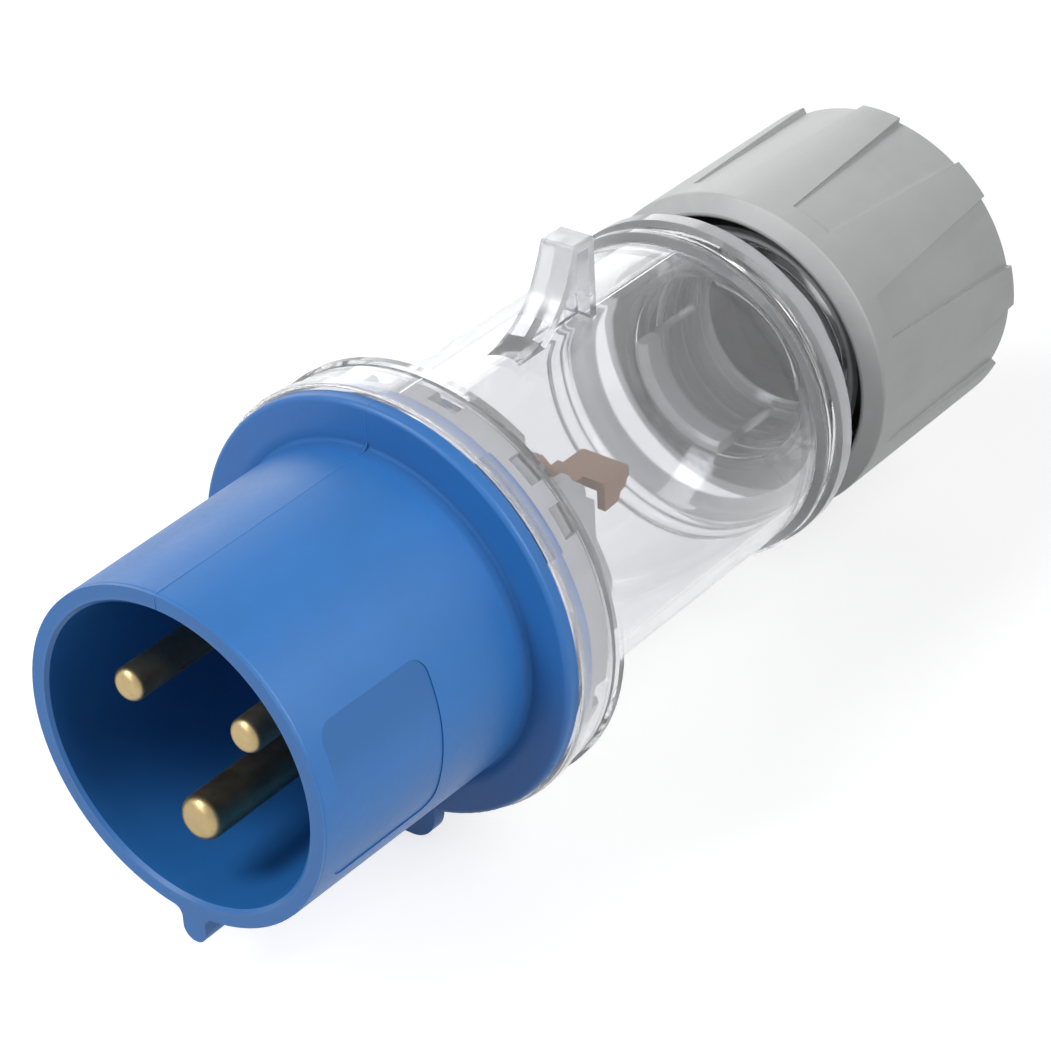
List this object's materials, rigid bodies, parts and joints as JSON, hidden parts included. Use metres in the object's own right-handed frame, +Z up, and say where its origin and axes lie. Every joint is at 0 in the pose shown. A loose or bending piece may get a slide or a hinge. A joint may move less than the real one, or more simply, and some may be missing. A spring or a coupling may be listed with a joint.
{
  "type": "industrial plug",
  "caption": "Industrial power plug: blue keyed shroud with brass pins, clear twist-off housing with lid lug, colour-coded clamp levers and a padded gland nut.",
  "frame": {"origin": "centre of the shroud's mouth, on the plug axis", "axes": "+X along the plug axis from the mouth to the cable end, +Z up through the lid lug with the key rib below, +Y to the neutral side"},
  "size_m": [0.1986, 0.079, 0.09],
  "materials": {
    "blue_plastic": "satin",
    "brass": "turned, polished tips",
    "white_plastic": "satin",
    "tinned_copper": "tinned",
    "spring_steel": "rolled strip",
    "brown_plastic": "satin",
    "lever_blue_plastic": "satin",
    "green_plastic": "satin",
    "clear_plastic": "clear, polished",
    "smoke_plastic": "clear, slightly grey",
    "grey_rubber": "smooth",
    "slip_plastic": "satin",
    "grey_plastic": "fine satin"
  },
  "bodies": {
    "front": {"shroud_insert": "blue_plastic", "phase_pin": "brass", "neutral_pin": "brass", "earth_pin": "brass", "contact_carrier": "white_plastic", "phase_bar": "tinned_copper", "neutral_bar": "tinned_copper", "earth_bar": "tinned_copper", "phase_spring": "spring_steel", "neutral_spring": "spring_steel", "earth_spring": "spring_steel"},
    "phase_clamp": {"phase_lever": "brown_plastic"},
    "neutral_clamp": {"neutral_lever": "lever_blue_plastic"},
    "earth_clamp": {"earth_lever": "green_plastic"},
    "rear_shell": {"housing": "clear_plastic", "cable_collet": "smoke_plastic"},
    "slip": {"slip_ring": "slip_plastic", "cable_seal": "grey_rubber"},
    "nut": {"gland_nut": "grey_plastic"}
  },
  "joints": [
    {"name": "housing_twist", "type": "hinge", "parent": "front", "child": "rear_shell", "pos_m": [0.0555, 0, 0], "axis": [1, 0, 0], "range_deg": [0, 40]},
    {"name": "nut_feed", "type": "slide", "parent": "rear_shell", "child": "slip", "axis": [-1, 0, 0], "range_m": [0, 0.0084]},
    {"name": "nut_turn", "type": "hinge", "parent": "slip", "child": "nut", "pos_m": [0.175, 0, 0], "axis": [-1, 0, 0], "range_deg": [0, 504]},
    {"name": "phase_lever_swing", "type": "hinge", "parent": "front", "child": "phase_clamp", "pos_m": [0.0782, -0.01217, 0.01243], "axis": [0, -1, 0], "range_deg": [0, 20]},
    {"name": "neutral_lever_swing", "type": "hinge", "parent": "front", "child": "neutral_clamp", "pos_m": [0.0782, 0.01217, 0.01243], "axis": [0, -1, 0], "range_deg": [0, 20]},
    {"name": "earth_lever_swing", "type": "hinge", "parent": "front", "child": "earth_clamp", "pos_m": [0.0782, 0, -0.01945], "axis": [0, 1, 0], "range_deg": [0, 20]}
  ],
  "couplings": [
    {"joint": "nut_feed", "follows": "nut_turn", "m_per_rad": 0.0009549}
  ]
}
